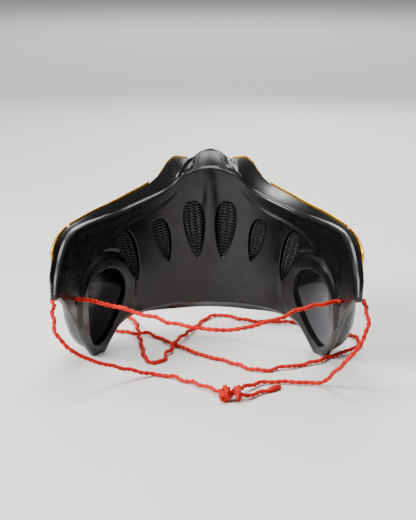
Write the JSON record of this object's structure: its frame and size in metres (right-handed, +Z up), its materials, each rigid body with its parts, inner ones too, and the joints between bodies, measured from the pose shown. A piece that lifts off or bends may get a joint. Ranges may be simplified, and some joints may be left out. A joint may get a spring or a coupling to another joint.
{
  "type": "samurai mask",
  "caption": "Black half face mask with gold trim plates, netted breathing slots, hollow jaw lobes, a tie cord and a loose loop of cord.",
  "frame": {"origin": "on the floor the mask stands on, below the middle of the box round the mask without its cords", "axes": "+Z up, +Y the way the mask faces (the nose), +X to the right seen from behind, which is the wearer's right"},
  "size_m": [0.1776, 0.1555, 0.1171],
  "materials": {
    "black_plastic": "satin",
    "black_net": "matt",
    "gold_paint": "satin gold paint",
    "red_twine": "twisted twine"
  },
  "bodies": {
    "root": {"shell": "black_plastic", "vent_grille_left_1": "black_net", "vent_grille_left_2": "black_net", "vent_grille_left_3": "black_net", "vent_grille_right_1": "black_net", "vent_grille_right_2": "black_net", "vent_grille_right_3": "black_net", "jaw_pod_left": "black_plastic", "jaw_pod_right": "black_plastic", "nose_wing_left": "gold_paint", "nose_wing_right": "gold_paint", "cheek_plate_left": "gold_paint", "cheek_plate_right": "gold_paint", "ear_plate_left": "gold_paint", "ear_plate_right": "gold_paint", "tie_cord": "red_twine", "tie_cord_tail": "red_twine", "knot": "red_twine", "loop_front": "red_twine", "loop_rear": "red_twine"}
  },
  "joints": []
}
